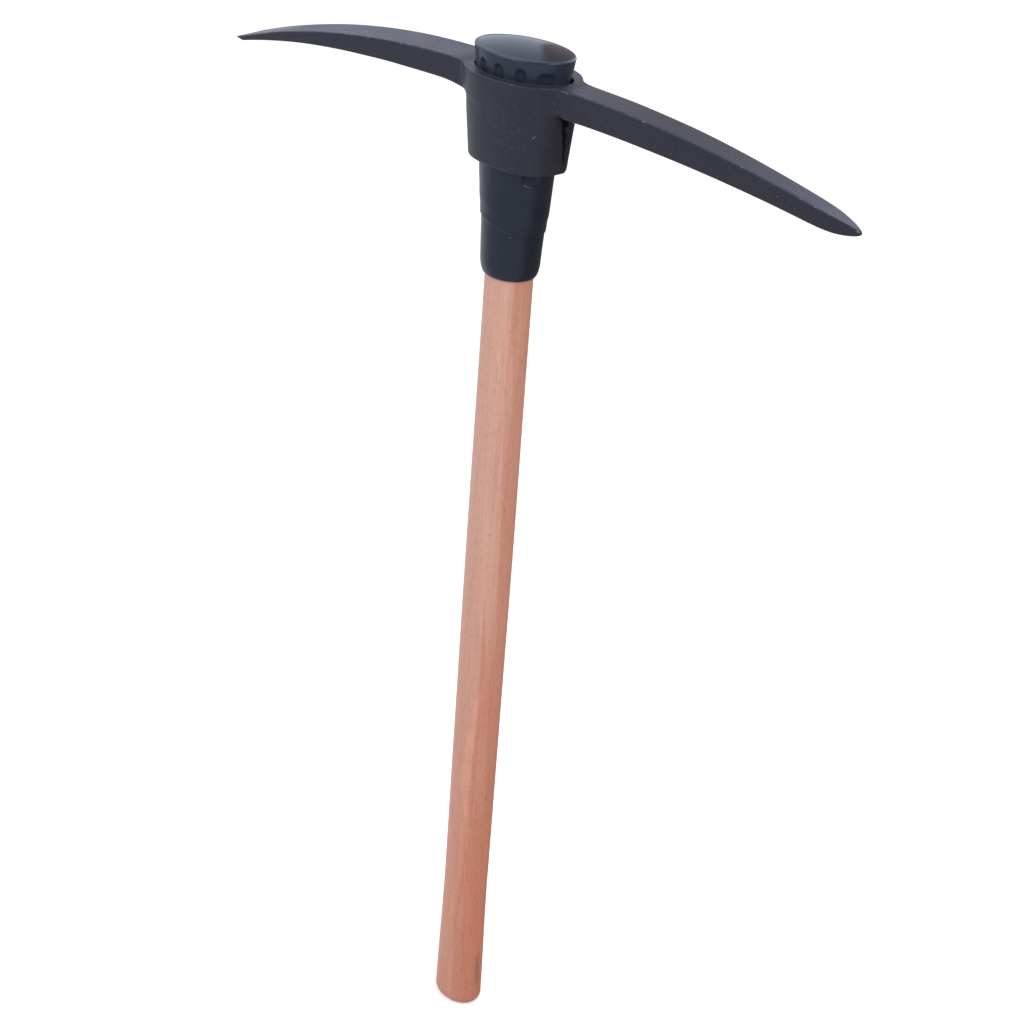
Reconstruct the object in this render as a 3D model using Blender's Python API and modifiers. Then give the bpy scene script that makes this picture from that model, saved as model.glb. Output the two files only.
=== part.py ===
"""Pick with a chisel end and a pointed end, on an oval hardwood handle.

The head is one forging: an eye boss with two drooping arms. The handle's top end sits in a tapered
plastic adapter, wedged fast, with a cap over its mouth. The head drops over the butt, slides up the
handle and jams on the adapter's taper.

Metres, +Z up the handle, origin at the middle of the butt. +X is the pointed arm, -Y is the front.
"""
import math

import bmesh
import bpy

MM = 0.001

# Handle: the shaft's ovals, from the butt up, as half widths along X and half depths along Y
RIM_HEIGHT = 907.5 * MM          # butt to the adapter's rim, nominally a 36 in handle with its cap
SHAFT_BUTT = (23.2 * MM, 18.0 * MM)
SHAFT_PALM = (21.1 * MM, 16.8 * MM)
SHAFT_MIDDLE = (20.7 * MM, 17.5 * MM)
SHAFT_NECK = (19.35 * MM, 17.25 * MM)
SHAFT_TOP = (23.0 * MM, 19.0 * MM)     # the tenon flares inside the adapter
PALM_HEIGHT = 150 * MM
BUTT_ROUND = 8.5 * MM

# Adapter: its wall over the wood, along X and along Y, from the bottom edge up
MOUTH_LIP = (0.8 * MM, 0.8 * MM)
MOUTH_WALL = (4.5 * MM, 3.4 * MM)
COLLAR_WALL = (5.35 * MM, 3.85 * MM)
SHOULDER_WALL = (8.1 * MM, 4.4 * MM)
EYE_FOOT_WALL = (10.1 * MM, 4.5 * MM)  # level with the underside of the boss
EYE_TOP_WALL = (15.7 * MM, 7.8 * MM)   # level with the top of the boss
RIM_FLARE = (2.6 * MM, 1.6 * MM)       # how far the rim stands past the eye's top
RIM_ROUND = 1.2 * MM

# Adapter: heights of its parts below the boss, from the boss down
TAPER_TAIL = 35.5 * MM
STEP_HEIGHT = 13 * MM
COLLAR_HEIGHT = 26 * MM
MOUTH_ROUND = 14 * MM

# Flutes moulded into the adapter: angles round the oval, width, and how far the two ends stand past
# the top and the underside of the boss
FLUTE_DEPTH = 2.4 * MM
NARROW_FLUTES = (63, 90, 117)          # degrees from +X, on the back and again on the front
NARROW_WIDTH = 8.5 * MM
NARROW_OVERRUN = (9.3 * MM, 3.5 * MM)
WIDE_FLUTES = (150,)                   # one beside them, to the right on each face
WIDE_WIDTH = 14.0 * MM
WIDE_OVERRUN = (7.8 * MM, 11.0 * MM)

# End cap over the adapter's mouth
CAP_SEAM = 2.0 * MM                    # from the rim's outer edge in to the seam
CAP_DOME = 5.5 * MM
CAP_PLUG = 5.0 * MM

# Wedges that spread the shaft's top end: width, thickness at the head and at the toe, length
KERF_WEDGE = (40 * MM, 3.4 * MM, 1.2 * MM, 54 * MM)
CROSS_WEDGE = (17 * MM, 2.6 * MM, 0.8 * MM, 26 * MM)
CROSS_WEDGE_X = 9.5 * MM

# Head: the eye boss, with its wall over the adapter's taper along X and along Y
BOSS_TOP_DROP = 16.3 * MM              # below the adapter's rim
BOSS_HEIGHT = 66.2 * MM
BOSS_TOP_WALL = (6.8 * MM, 8.1 * MM)
BOSS_BOTTOM_WALL = (8.1 * MM, 5.5 * MM)
BOSS_POWER = 2.3                       # 2 is an ellipse, more is squarer
BOSS_FOOT_ROUND = 3.0 * MM
END_FLAT_TOP = 8.0 * MM                # half width of the flat end just below the arms
END_FLAT_BOTTOM = 3.2 * MM
EYE_END_GAP = 1.2 * MM                 # open notch between adapter and eye at each end of the oval
EDGE = 2.0 * MM                        # spacing of the loops that keep the forged edges tight
FILLET_RUN = 5.0 * MM                  # along an arm, where it flares into the boss
FOOT_LOOP = 13 * MM                    # cage loops above the underside and below the arms' roots
ROOT_LOOP = 8 * MM
ARM_LOOPS = (3 * MM, 12 * MM, 28 * MM, 52 * MM)  # and out along an arm from the boss

# Each arm's lines fall away along it as fall * share ** power, from the root to the tip, and its
# width narrows evenly apart from a swell at the middle
POINT_ARM = {
    "side": 1, "reach": 285.5 * MM, "root_rise": -0.9 * MM, "depth": 20.1 * MM, "fillet": 0.5 * MM,
    "top_fall": 33.6 * MM, "top_power": 1.84, "bottom_fall": 23.4 * MM, "bottom_power": 1.80,
    "root_half": 12.9 * MM, "flare": 2.1 * MM, "swell": 1.2 * MM, "end_half": 7.2 * MM,
}
POINT_TAPER = 24 * MM                  # length of the four-sided point itself
POINT_HEIGHT = 6.6 * MM                # of the tip above the arm's bottom line
POINT_BLUNT = 1.2 * MM
CHISEL_ARM = {
    "side": -1, "reach": 282.0 * MM, "root_rise": 1.1 * MM, "depth": 18.1 * MM, "fillet": 2.2 * MM,
    "top_fall": 38.8 * MM, "top_power": 2.15, "bottom_fall": 24.3 * MM, "bottom_power": 2.75,
    "root_half": 17.0 * MM, "flare": 1.4 * MM, "swell": 1.3 * MM, "end_half": 16.4 * MM,
}
CHISEL_FACET = 4.6 * MM                # the blunt facet under the cutting edge

# Clearances
FIT = 0.3 * MM                         # between pieces that are pressed together
TAPER_GAP = 0.3 * MM                   # between the adapter's taper and the eye
RUN_OUT = 5 * MM                       # of a cutter past the face that it opens

SIDES = 48
HEAD_SMOOTHING = 1

# Heights that follow from the sizes above
BOSS_TOP_Z = RIM_HEIGHT - BOSS_TOP_DROP
BOSS_BOTTOM_Z = BOSS_TOP_Z - BOSS_HEIGHT
SHOULDER_Z = BOSS_BOTTOM_Z - TAPER_TAIL
COLLAR_Z = SHOULDER_Z - STEP_HEIGHT
MOUTH_Z = COLLAR_Z - COLLAR_HEIGHT
ADAPTER_BOTTOM_Z = MOUTH_Z - MOUTH_ROUND
SHAFT_TOP_Z = RIM_HEIGHT - CAP_PLUG - 2 * FIT
ROOT_Z = BOSS_TOP_Z - sum(arm["depth"] - arm["root_rise"] for arm in (POINT_ARM, CHISEL_ARM)) / 2


# Scene and materials

def clear_scene():
    for obj in list(bpy.data.objects):
        bpy.data.objects.remove(obj, do_unlink=True)


def make_collection(name):
    collection = bpy.data.collections.new(name)
    bpy.context.scene.collection.children.link(collection)
    return collection


def srgb(red, green, blue):
    """A colour given as 0-255 screen values, as linear light."""
    linear = []
    for value in (red, green, blue):
        value /= 255
        linear.append(value / 12.92 if value <= 0.04045 else ((value + 0.055) / 1.055) ** 2.4)
    return (*linear, 1.0)


def make_material(name, colour, roughness, metallic=0.0):
    material = bpy.data.materials.new(name)
    material.use_nodes = True
    shader = material.node_tree.nodes["Principled BSDF"]
    shader.inputs["Base Color"].default_value = colour
    shader.inputs["Roughness"].default_value = roughness
    shader.inputs["Metallic"].default_value = metallic
    return material


# Shared geometry

def mix(low, high, share):
    return low + (high - low) * share


def mix_pair(low, high, share):
    return (mix(low[0], high[0], share), mix(low[1], high[1], share))


def oval_point(half, angle, power):
    """A point on a superellipse, by its angle in radians."""
    cos, sin = math.cos(angle), math.sin(angle)
    return (half[0] * math.copysign(abs(cos) ** (2 / power), cos),
            half[1] * math.copysign(abs(sin) ** (2 / power), sin))


def oval_ring(half, z, power=2.0, sides=SIDES):
    ring = []
    for step in range(sides):
        x, y = oval_point(half, math.tau * step / sides, power)
        ring.append((x, y, z))
    return ring


def grown(half, margin):
    return (half[0] + margin, half[1] + margin)


def walled(half, wall):
    """An oval with a wall round it that differs along X and along Y."""
    return (half[0] + wall[0], half[1] + wall[1])


def loft_mesh(name, rings):
    """Closed mesh through rings of equal count, listed from the bottom up."""
    bm = bmesh.new()
    loops = [[bm.verts.new(point) for point in ring] for ring in rings]
    count = len(rings[0])
    for low, high in zip(loops, loops[1:]):
        for i in range(count):
            j = (i + 1) % count
            bm.faces.new((low[i], low[j], high[j], high[i]))
    bm.faces.new(reversed(loops[0]))
    bm.faces.new(loops[-1])
    return finish_mesh(bm, name)


def finish_mesh(bm, name):
    mesh = bpy.data.meshes.new(name)
    bmesh.ops.recalc_face_normals(bm, faces=bm.faces)
    bm.to_mesh(mesh)
    bm.free()
    return mesh


def add_object(mesh, collection, material=None, parent=None):
    obj = bpy.data.objects.new(mesh.name, mesh)
    collection.objects.link(obj)
    if material:
        mesh.materials.append(material)
    if parent:
        obj.parent = parent
        obj.location = -parent.location
    mesh.shade_smooth()
    mesh.set_sharp_from_angle(angle=math.radians(35))
    return obj


def add_cutter(mesh, collection):
    obj = add_object(mesh, collection)
    obj.hide_render = True
    obj.display_type = "WIRE"
    return obj


def subtract(obj, cutter):
    cut = obj.modifiers.new(cutter.name, "BOOLEAN")
    cut.operation = "DIFFERENCE"
    cut.solver = "EXACT"
    cut.object = cutter


# Ovals of the shaft and of the adapter at any height

def shaft_half(z):
    """Half width and depth of the wood at height z, tenon included."""
    middle_z = (PALM_HEIGHT + ADAPTER_BOTTOM_Z) / 2
    stations = ((0.0, SHAFT_BUTT), (PALM_HEIGHT, SHAFT_PALM), (middle_z, SHAFT_MIDDLE),
                (ADAPTER_BOTTOM_Z, SHAFT_NECK), (SHAFT_TOP_Z, SHAFT_TOP))
    for (low_z, low), (high_z, high) in zip(stations, stations[1:]):
        if z <= high_z:
            share = (z - low_z) / (high_z - low_z)
            if high is not SHAFT_TOP:
                share = share * share * (3 - 2 * share)
            return mix_pair(low, high, share)
    return SHAFT_TOP


EYE_FOOT = walled(shaft_half(BOSS_BOTTOM_Z), EYE_FOOT_WALL)
EYE_TOP = walled(shaft_half(BOSS_TOP_Z), EYE_TOP_WALL)
RIM = walled(EYE_TOP, RIM_FLARE)
BOSS_BOTTOM = walled(EYE_FOOT, BOSS_BOTTOM_WALL)
BOSS_TOP = walled(EYE_TOP, BOSS_TOP_WALL)


def adapter_stations():
    """Heights and ovals of the adapter's outside, from its bottom edge up to the rim."""
    lip = walled(shaft_half(ADAPTER_BOTTOM_Z), MOUTH_LIP)
    mouth = walled(shaft_half(MOUTH_Z), MOUTH_WALL)
    stations = []
    for step in range(5):
        turn = math.radians(90 * step / 4)
        stations.append((MOUTH_Z - MOUTH_ROUND * math.cos(turn), mix_pair(lip, mouth, math.sin(turn))))
    stations += [(COLLAR_Z, walled(shaft_half(COLLAR_Z), COLLAR_WALL)),
                 (SHOULDER_Z, walled(shaft_half(SHOULDER_Z), SHOULDER_WALL)),
                 (BOSS_BOTTOM_Z, EYE_FOOT),
                 (BOSS_TOP_Z, EYE_TOP)]
    for step in range(4):
        turn = math.radians(30 * step)
        stations.append((RIM_HEIGHT - RIM_ROUND * (1 - math.sin(turn)),
                         grown(RIM, -RIM_ROUND * (1 - math.cos(turn)))))
    return stations


def taper_half(z):
    """Half sizes of the taper that jams in the eye, carried on above and below it."""
    return mix_pair(EYE_FOOT, EYE_TOP, (z - BOSS_BOTTOM_Z) / BOSS_HEIGHT)


# Handle pieces

def wedge_mesh(name, size, across, centre=0.0, margin=0.0, run_out=0.0, width=None):
    """Wedge with its head level with the tenon's end, thick along Y or, if it lies across, along X.

    A cutter for one has a margin, and a run-out that carries it past the end of the wood.
    """
    full_width, head, toe, length = size
    half_width = (width or full_width) / 2 + margin
    rings = []
    for z in (SHAFT_TOP_Z - length - margin, SHAFT_TOP_Z + run_out):
        half_thick = mix(toe, head, (z - SHAFT_TOP_Z) / length + 1) / 2 + margin
        half_x, half_y = (half_thick, half_width) if across else (half_width, half_thick)
        corners = ((-1, -1), (1, -1), (1, 1), (-1, 1))
        rings.append([(centre + x * half_x, y * half_y, z) for x, y in corners])
    return loft_mesh(name, rings)


def shaft_rings(heights, margin=0.0):
    return [oval_ring(grown(shaft_half(z), margin), z) for z in heights]


def butt_rings():
    """Rings round the rounded edge of the butt, from the ground up."""
    rings = []
    for step in range(6):
        turn = math.radians(90 * step / 5)
        z = BUTT_ROUND * (1 - math.cos(turn))
        inset = BUTT_ROUND * (1 - math.sin(turn))
        rings.append(oval_ring(grown(shaft_half(z), -inset), z))
    return rings


def cut_cross_pockets(obj, cutters):
    for side in (-1, 1):
        mesh = wedge_mesh(f"{obj.name}_pocket", CROSS_WEDGE, True, side * CROSS_WEDGE_X, FIT, RUN_OUT)
        subtract(obj, add_cutter(mesh, cutters))


def make_shaft(parts, cutters, wood, parent):
    heights = [mix(BUTT_ROUND, ADAPTER_BOTTOM_Z, step / 18) for step in range(1, 19)] + [SHAFT_TOP_Z]
    mesh = loft_mesh("handle_shaft", butt_rings() + shaft_rings(heights))
    shaft = add_object(mesh, parts, wood, parent)
    # The sawn kerf runs right across the tenon, with its wedge driven to the bottom
    kerf = wedge_mesh("kerf", KERF_WEDGE, False, 0.0, FIT, RUN_OUT, 4 * SHAFT_TOP[0])
    subtract(shaft, add_cutter(kerf, cutters))
    cut_cross_pockets(shaft, cutters)


def make_wedges(parts, cutters, wood, steel, parent):
    kerf_wedge = add_object(wedge_mesh("kerf_wedge", KERF_WEDGE, False), parts, wood, parent)
    cut_cross_pockets(kerf_wedge, cutters)
    for side, name in ((-1, "cross_wedge_left"), (1, "cross_wedge_right")):
        add_object(wedge_mesh(name, CROSS_WEDGE, True, side * CROSS_WEDGE_X), parts, steel, parent)


def cap_plug_half():
    return grown(RIM, -CAP_SEAM)


def make_cap(parts, plastic, parent):
    """Low dome with a plug that fills the adapter's mouth."""
    plug = grown(cap_plug_half(), -FIT)
    base_z = RIM_HEIGHT - CAP_PLUG
    rings = [oval_ring(plug, base_z), oval_ring(plug, RIM_HEIGHT)]
    for step in range(1, 7):
        share = step / 7
        height = RIM_HEIGHT + CAP_DOME * (1 - (1 - share) ** 2)
        rings.append(oval_ring((plug[0] * (1 - share), plug[1] * (1 - share)), height))
    return add_object(loft_mesh("adapter_cap", rings), parts, plastic, parent)


def flute_mesh(name, angle, width, overrun):
    """Round-ended bar that cuts one flute, sunk square to the adapter's taper."""
    turn = math.radians(angle)
    ends = ((BOSS_TOP_Z + overrun[0] - width / 2, 1), (BOSS_BOTTOM_Z - overrun[1] + width / 2, -1))
    outline = []
    for centre_z, sense in ends:
        for step in range(11):
            arc = math.pi * step / 10
            outline.append((sense * width / 2 * math.cos(arc), centre_z + sense * width / 2 * math.sin(arc)))
    rings = []
    for sink in (-FLUTE_DEPTH, 4 * FLUTE_DEPTH):
        ring = []
        for across, z in outline:
            half = grown(taper_half(z), sink)
            x, y = half[0] * math.cos(turn), half[1] * math.sin(turn)
            run_x, run_y = -half[0] * math.sin(turn), half[1] * math.cos(turn)
            run = math.hypot(run_x, run_y)
            ring.append((x + run_x / run * across, y + run_y / run * across, z))
        rings.append(ring)
    return loft_mesh(name, rings)


def make_adapter(parts, cutters, plastic, parent):
    rings = [oval_ring(half, z) for z, half in adapter_stations()]
    adapter = add_object(loft_mesh("plastic_adapter", rings), parts, plastic, parent)
    bore = shaft_rings([ADAPTER_BOTTOM_Z - RUN_OUT, ADAPTER_BOTTOM_Z, SHAFT_TOP_Z, RIM_HEIGHT], FIT)
    subtract(adapter, add_cutter(loft_mesh("bore_cutter", bore), cutters))
    mouth = [oval_ring(cap_plug_half(), z) for z in (RIM_HEIGHT - CAP_PLUG - FIT, RIM_HEIGHT + RUN_OUT)]
    subtract(adapter, add_cutter(loft_mesh("mouth_cutter", mouth), cutters))
    for face in (0, 180):
        for angles, width, overrun in ((NARROW_FLUTES, NARROW_WIDTH, NARROW_OVERRUN),
                                       (WIDE_FLUTES, WIDE_WIDTH, WIDE_OVERRUN)):
            for angle in angles:
                mesh = flute_mesh(f"flute_{angle + face}", angle + face, width, overrun)
                subtract(adapter, add_cutter(mesh, cutters))


# Head

def boss_ring(z, inset=0.0):
    """22 cage points round the boss at height z, anticlockwise from just behind the +X end's middle."""
    half = grown(mix_pair(BOSS_BOTTOM, BOSS_TOP, (z - BOSS_BOTTOM_Z) / BOSS_HEIGHT), -inset)
    flats = [arm["root_half"] + arm["flare"] for arm in (POINT_ARM, CHISEL_ARM)]
    if z < ROOT_Z:
        flats = [mix(END_FLAT_BOTTOM, END_FLAT_TOP, (z - BOSS_BOTTOM_Z) / (ROOT_Z - BOSS_BOTTOM_Z))] * 2
    start, end = [math.asin((flat / half[1]) ** (BOSS_POWER / 2)) for flat in flats]
    arc = [oval_point(half, mix(start, math.pi - end, step / 8), BOSS_POWER) for step in range(9)]
    inner = [flat - min(EDGE, flat / 2) for flat in flats]
    back = [(arc[0][0], inner[0])] + arc + [(arc[-1][0], inner[1])]
    return [(x, y, z) for x, y in back] + [(x, -y, z) for x, y in reversed(back)]


def arm_share(arm, x):
    return max(0.0, (x - BOSS_TOP[0]) / (arm["reach"] - BOSS_TOP[0]))


def arm_top(arm, x):
    return BOSS_TOP_Z + arm["root_rise"] - arm["top_fall"] * arm_share(arm, x) ** arm["top_power"]


def arm_bottom(arm, x):
    """Height of the underside, which drops into the boss through a fillet."""
    root = BOSS_TOP_Z + arm["root_rise"] - arm["depth"]
    fillet = arm["fillet"] * math.exp(-(x - BOSS_TOP[0]) / FILLET_RUN)
    return root - arm["bottom_fall"] * arm_share(arm, x) ** arm["bottom_power"] - fillet


def arm_half(arm, x):
    """Half width, flaring into the boss through a fillet."""
    share = arm_share(arm, x)
    flare = arm["flare"] * math.exp(-(x - BOSS_TOP[0]) / FILLET_RUN)
    return mix(arm["root_half"], arm["end_half"], share) + 4 * arm["swell"] * share * (1 - share) + flare


def section_ring(side, x, half, bottom, top, lean=0.0):
    """12 cage points of an arm's section; lean moves its top edge outward."""
    edge_y, edge_z = min(EDGE, half / 2), min(EDGE, (top - bottom) / 3)
    across = (-half, -half + edge_y, half - edge_y, half)
    up = (bottom, bottom + edge_z, top - edge_z, top)
    outline = [(y, bottom) for y in across] + [(half, up[1]), (half, up[2])]
    outline += [(y, top) for y in reversed(across)] + [(-half, up[2]), (-half, up[1])]
    return [(side * (x + lean * (z - bottom) / (top - bottom)), side * y, z) for y, z in outline]


def arm_rings(arm, end, count):
    """Sections from the boss out to x = end, closer together in the fillet."""
    places = [BOSS_TOP[0] + loop for loop in ARM_LOOPS]
    places += [mix(places[-1], end, step / count) for step in range(1, count + 1)]
    return [section_ring(arm["side"], x, arm_half(arm, x), arm_bottom(arm, x), arm_top(arm, x))
            for x in places]


def point_arm_rings():
    """The shoulder, then a four-sided point that bows in to its tip."""
    arm, reach = POINT_ARM, POINT_ARM["reach"]
    shoulder = reach - POINT_TAPER
    rings = arm_rings(arm, shoulder, 6)
    tip_z = arm_bottom(arm, reach) + POINT_HEIGHT
    for step in (0.35, 0.7, 1.0):
        left = (1 - step) ** 0.75
        x = mix(shoulder, reach, step)
        rings.append(section_ring(arm["side"], x,
                                  mix(POINT_BLUNT, arm_half(arm, shoulder), left),
                                  mix(tip_z - POINT_BLUNT, arm_bottom(arm, x), left),
                                  mix(tip_z + POINT_BLUNT, arm_top(arm, shoulder), left)))
    return rings


def chisel_arm_rings():
    """The blade, ending in a facet that slants back under the cutting edge."""
    arm, reach = CHISEL_ARM, CHISEL_ARM["reach"]
    foot = reach - CHISEL_FACET
    rings = arm_rings(arm, foot - 6 * EDGE, 7)
    for back in (EDGE / 2, 0.0):
        rings.append(section_ring(arm["side"], foot - back, arm["end_half"], arm_bottom(arm, foot - back),
                                  arm_top(arm, reach - back), CHISEL_FACET))
    return rings


def head_cage_mesh():
    """Coarse cage of the forging, to be smoothed: a solid boss with an arm drawn out of each end."""
    bm = bmesh.new()
    heights = [BOSS_BOTTOM_Z, BOSS_BOTTOM_Z + BOSS_FOOT_ROUND, BOSS_BOTTOM_Z + FOOT_LOOP,
               mix(BOSS_BOTTOM_Z, ROOT_Z, 0.5), ROOT_Z - ROOT_LOOP,
               ROOT_Z, ROOT_Z + EDGE, BOSS_TOP_Z - EDGE, BOSS_TOP_Z]
    # The inset ring keeps the underside flat out to the rounded edge
    rings = [boss_ring(BOSS_BOTTOM_Z, BOSS_FOOT_ROUND)] + [boss_ring(z) for z in heights]
    root_row = 1 + heights.index(ROOT_Z)
    left, right = [arm_bottom(arm, BOSS_TOP[0]) for arm in (CHISEL_ARM, POINT_ARM)]
    rings[root_row] = [(x, y, mix(left, right, (1 + x / BOSS_TOP[0]) / 2)) for x, y, z in rings[root_row]]
    rows = [[bm.verts.new(point) for point in ring] for ring in rings]
    count = len(rows[0])
    # Each arm leaves through three columns of faces round one end
    firsts = (count - 2, count // 2 - 2)
    open_columns = {(first + step) % count for first in firsts for step in range(3)}
    for r, (low, high) in enumerate(zip(rows, rows[1:])):
        for i in range(count):
            if r < root_row or i not in open_columns:
                j = (i + 1) % count
                bm.faces.new((low[i], low[j], high[j], high[i]))
    bm.faces.new(reversed(rows[0]))
    bm.faces.new(rows[-1])

    for first, rings in zip(firsts, (point_arm_rings(), chisel_arm_rings())):
        columns = [(first + step) % count for step in range(4)]
        bottom, low, high, top = rows[root_row:]
        loop = [bottom[c] for c in columns] + [low[columns[3]], high[columns[3]]]
        loop += [top[c] for c in reversed(columns)] + [high[columns[0]], low[columns[0]]]
        for ring in rings:
            ahead = [bm.verts.new(point) for point in ring]
            for i in range(len(loop)):
                j = (i + 1) % len(loop)
                bm.faces.new((loop[i], loop[j], ahead[j], ahead[i]))
            loop = ahead
        bm.faces.new(loop)
    return finish_mesh(bm, "pick_head")


def make_head(parts, cutters, steel):
    head = add_object(head_cage_mesh(), parts, steel)
    smooth = head.modifiers.new("forged_edges", "SUBSURF")
    smooth.levels = smooth.render_levels = HEAD_SMOOTHING
    smooth.use_limit_surface = False       # so that flat faces of the cage stay flat
    rings = []
    for z in (BOSS_BOTTOM_Z - RUN_OUT, BOSS_TOP_Z + RUN_OUT):
        half_x, half_y = taper_half(z)
        rings.append(oval_ring((half_x + EYE_END_GAP, half_y + TAPER_GAP), z))
    subtract(head, add_cutter(loft_mesh("eye_cutter", rings), cutters))


def main():
    clear_scene()
    parts = make_collection("pick_mattock")
    cutters = make_collection("cutters")

    forged = make_material("painted_forged_steel", srgb(58, 59, 68), 0.42, 0.3)
    plastic = make_material("black_plastic", srgb(46, 49, 58), 0.35)
    wood = make_material("hardwood", srgb(204, 156, 140), 0.5)
    wedge_wood = make_material("wedge_wood", srgb(188, 140, 104), 0.6)
    wedge_steel = make_material("wedge_steel", srgb(150, 152, 156), 0.4, 1.0)

    # The handle slides up out of the eye along this empty's Z axis
    handle = bpy.data.objects.new("handle_slide", None)
    handle.location = (0, 0, BOSS_BOTTOM_Z)
    parts.objects.link(handle)

    make_head(parts, cutters, forged)
    make_shaft(parts, cutters, wood, handle)
    make_adapter(parts, cutters, plastic, handle)
    make_cap(parts, plastic, handle)
    make_wedges(parts, cutters, wedge_wood, wedge_steel, handle)


main()
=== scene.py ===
"""The looks of a pick with a chisel end and a pointed end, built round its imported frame.

Metres, +Z up the handle, origin at the middle of the butt. +X is the pointed arm, -Y is the front.
"""
import math

import bmesh
import bpy
from mathutils import Matrix, Vector, noise


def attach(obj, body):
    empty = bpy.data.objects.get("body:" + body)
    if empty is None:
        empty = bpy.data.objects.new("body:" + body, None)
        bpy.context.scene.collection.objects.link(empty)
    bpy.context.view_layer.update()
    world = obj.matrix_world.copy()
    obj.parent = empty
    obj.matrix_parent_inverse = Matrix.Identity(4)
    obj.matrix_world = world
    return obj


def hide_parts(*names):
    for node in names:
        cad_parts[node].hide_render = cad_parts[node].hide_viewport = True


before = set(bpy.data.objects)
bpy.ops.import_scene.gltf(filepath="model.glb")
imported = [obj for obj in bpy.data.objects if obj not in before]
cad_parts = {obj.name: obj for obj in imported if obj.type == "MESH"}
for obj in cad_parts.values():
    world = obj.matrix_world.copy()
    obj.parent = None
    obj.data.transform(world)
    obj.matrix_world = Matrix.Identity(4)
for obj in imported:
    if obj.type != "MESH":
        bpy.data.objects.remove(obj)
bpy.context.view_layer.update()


# Handle shaft: one length of pinkish hardwood, turned oval on a copying lathe, sanded and thinly oiled.
# It swells a little at the butt. Its tenon flares inside the adapter, and is sawn down the middle for
# the wedges that lock it there.

MM = 0.001
SHAFT_OVALS = (  # height, half width and half depth, in mm, from the butt to the tenon's end
    (0.0, 23.2, 18.0), (150.0, 21.1, 16.8), (443.25, 20.7, 17.5), (736.5, 19.35, 17.25), (901.9, 23.0, 19.0))
TENON_TOP = 901.9
BUTT_ROUND = 8.5
SHAFT_SIDES = 96
SHAFT_STEP = 6.0  # between the rings along the wood
SANDING = 0.14  # how far the sanded surface strays from the true oval
SANDED_FROM, SANDED_TO = 12.0, 700.0
KERF_WEDGE = (40.0, 3.4, 1.2, 54.0)  # width, thickness at the head and at the toe, length
CROSS_WEDGE = (17.0, 2.6, 0.8, 26.0)
CROSS_WEDGE_X = 9.5
SLOT_RUN_OUT = 5.0  # how far the slots are cut past the end of the tenon
FIT = 0.3  # gap between pieces that are pressed together
FIGURE_CORE = 0.3  # how far out a patch of figure keeps its full strength
PALE_FIGURE = (  # soft patches in the wood: two ends, width and strength
    ((13.8, -12.8, 367.2), (7.4, -16.0, 324.6), 8.0, 0.08),
    ((7.4, -16.0, 324.6), (5.2, -16.6, 284.0), 11.0, 0.09),
    ((5.2, -16.6, 284.0), (5.2, -16.4, 250.9), 11.0, 0.09),
    ((5.2, -16.4, 250.9), (9.0, -15.2, 217.5), 9.0, 0.09),
    ((9.0, -15.2, 217.5), (12.9, -13.3, 205.0), 5.0, 0.07),
    ((7.9, -15.7, 679.0), (7.9, -15.7, 668.0), 4.0, 0.10))
DARK_FIGURE = (
    ((16.6, -10.3, 322.0), (17.4, -9.5, 236.0), 8.0, 0.06),
    ((-9.2, -15.4, 345.0), (-9.5, -15.2, 275.0), 7.0, 0.05),
    ((20.0, -5.1, 252.0), (20.0, -5.1, 244.0), 1.6, 0.22),
    ((4.0, -17.0, 450.0), (9.0, -15.8, 390.0), 6.0, 0.05),
    ((-4.0, -16.5, 205.0), (2.0, -16.7, 190.0), 7.0, 0.05),
    ((22.0, -3.0, 70.0), (23.0, 0.0, 12.0), 8.0, 0.27))


def mix(low, high, share):
    return low + (high - low) * share


def clamp(share):
    return min(max(share, 0.0), 1.0)


def smooth(share):
    """A share held between 0 and 1, with a gentle start and end."""
    share = clamp(share)
    return share * share * (3 - 2 * share)


def rounding(radius, count):
    """Steps along a quarter circle, from (0, radius) to (radius, 0)."""
    turns = [math.pi / 2 * step / count for step in range(count + 1)]
    return [(radius * (1 - math.cos(turn)), radius * (1 - math.sin(turn))) for turn in turns]


def linear(hex_colour):
    """An sRGB hex colour as linear light, with its alpha."""
    channels = [int(hex_colour[place:place + 2], 16) / 255 for place in (1, 3, 5)]
    return (*[c / 12.92 if c <= 0.04045 else ((c + 0.055) / 1.055) ** 2.4 for c in channels], 1.0)


def add(tree, kind, feeds=None, out=0, **settings):
    """Adds a shader node with its settings, and with values or other nodes' outputs on its inputs."""
    made = tree.nodes.new("ShaderNode" + kind)
    for name, value in settings.items():
        setattr(made, name, value)
    for name, source in (feeds or {}).items():
        if isinstance(source, bpy.types.NodeSocket):
            tree.links.new(source, made.inputs[name])
        else:
            made.inputs[name].default_value = source
    return made.outputs[out]


def new_material(name, **shader_values):
    """A material with its node tree and its shader, whose uniform values are set on its own sockets."""
    material = bpy.data.materials.new(name)
    material.use_nodes = True
    shader = material.node_tree.nodes["Principled BSDF"]
    for socket, value in shader_values.items():
        shader.inputs[socket.replace("_", " ")].default_value = value
    return material, material.node_tree, shader


def feed(tree, shader, **outputs):
    """Links nodes' outputs to a shader's sockets."""
    for socket, output in outputs.items():
        tree.links.new(output, shader.inputs[socket.replace("_", " ")])


def oval(half, z, sides):
    """Points round an oval given in mm, anticlockwise from +X."""
    turns = [math.tau * step / sides for step in range(sides)]
    return [Vector((half[0] * math.cos(turn), half[1] * math.sin(turn), z)) * MM for turn in turns]


def start_ring(bm, places, capped):
    """A ring of vertices from a circle, with or without a face over it."""
    ring = bmesh.ops.create_circle(bm, cap_ends=capped, radius=1.0, segments=len(places))["verts"]
    for vert, place in zip(ring, places):
        vert.co = place
    return ring


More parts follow.
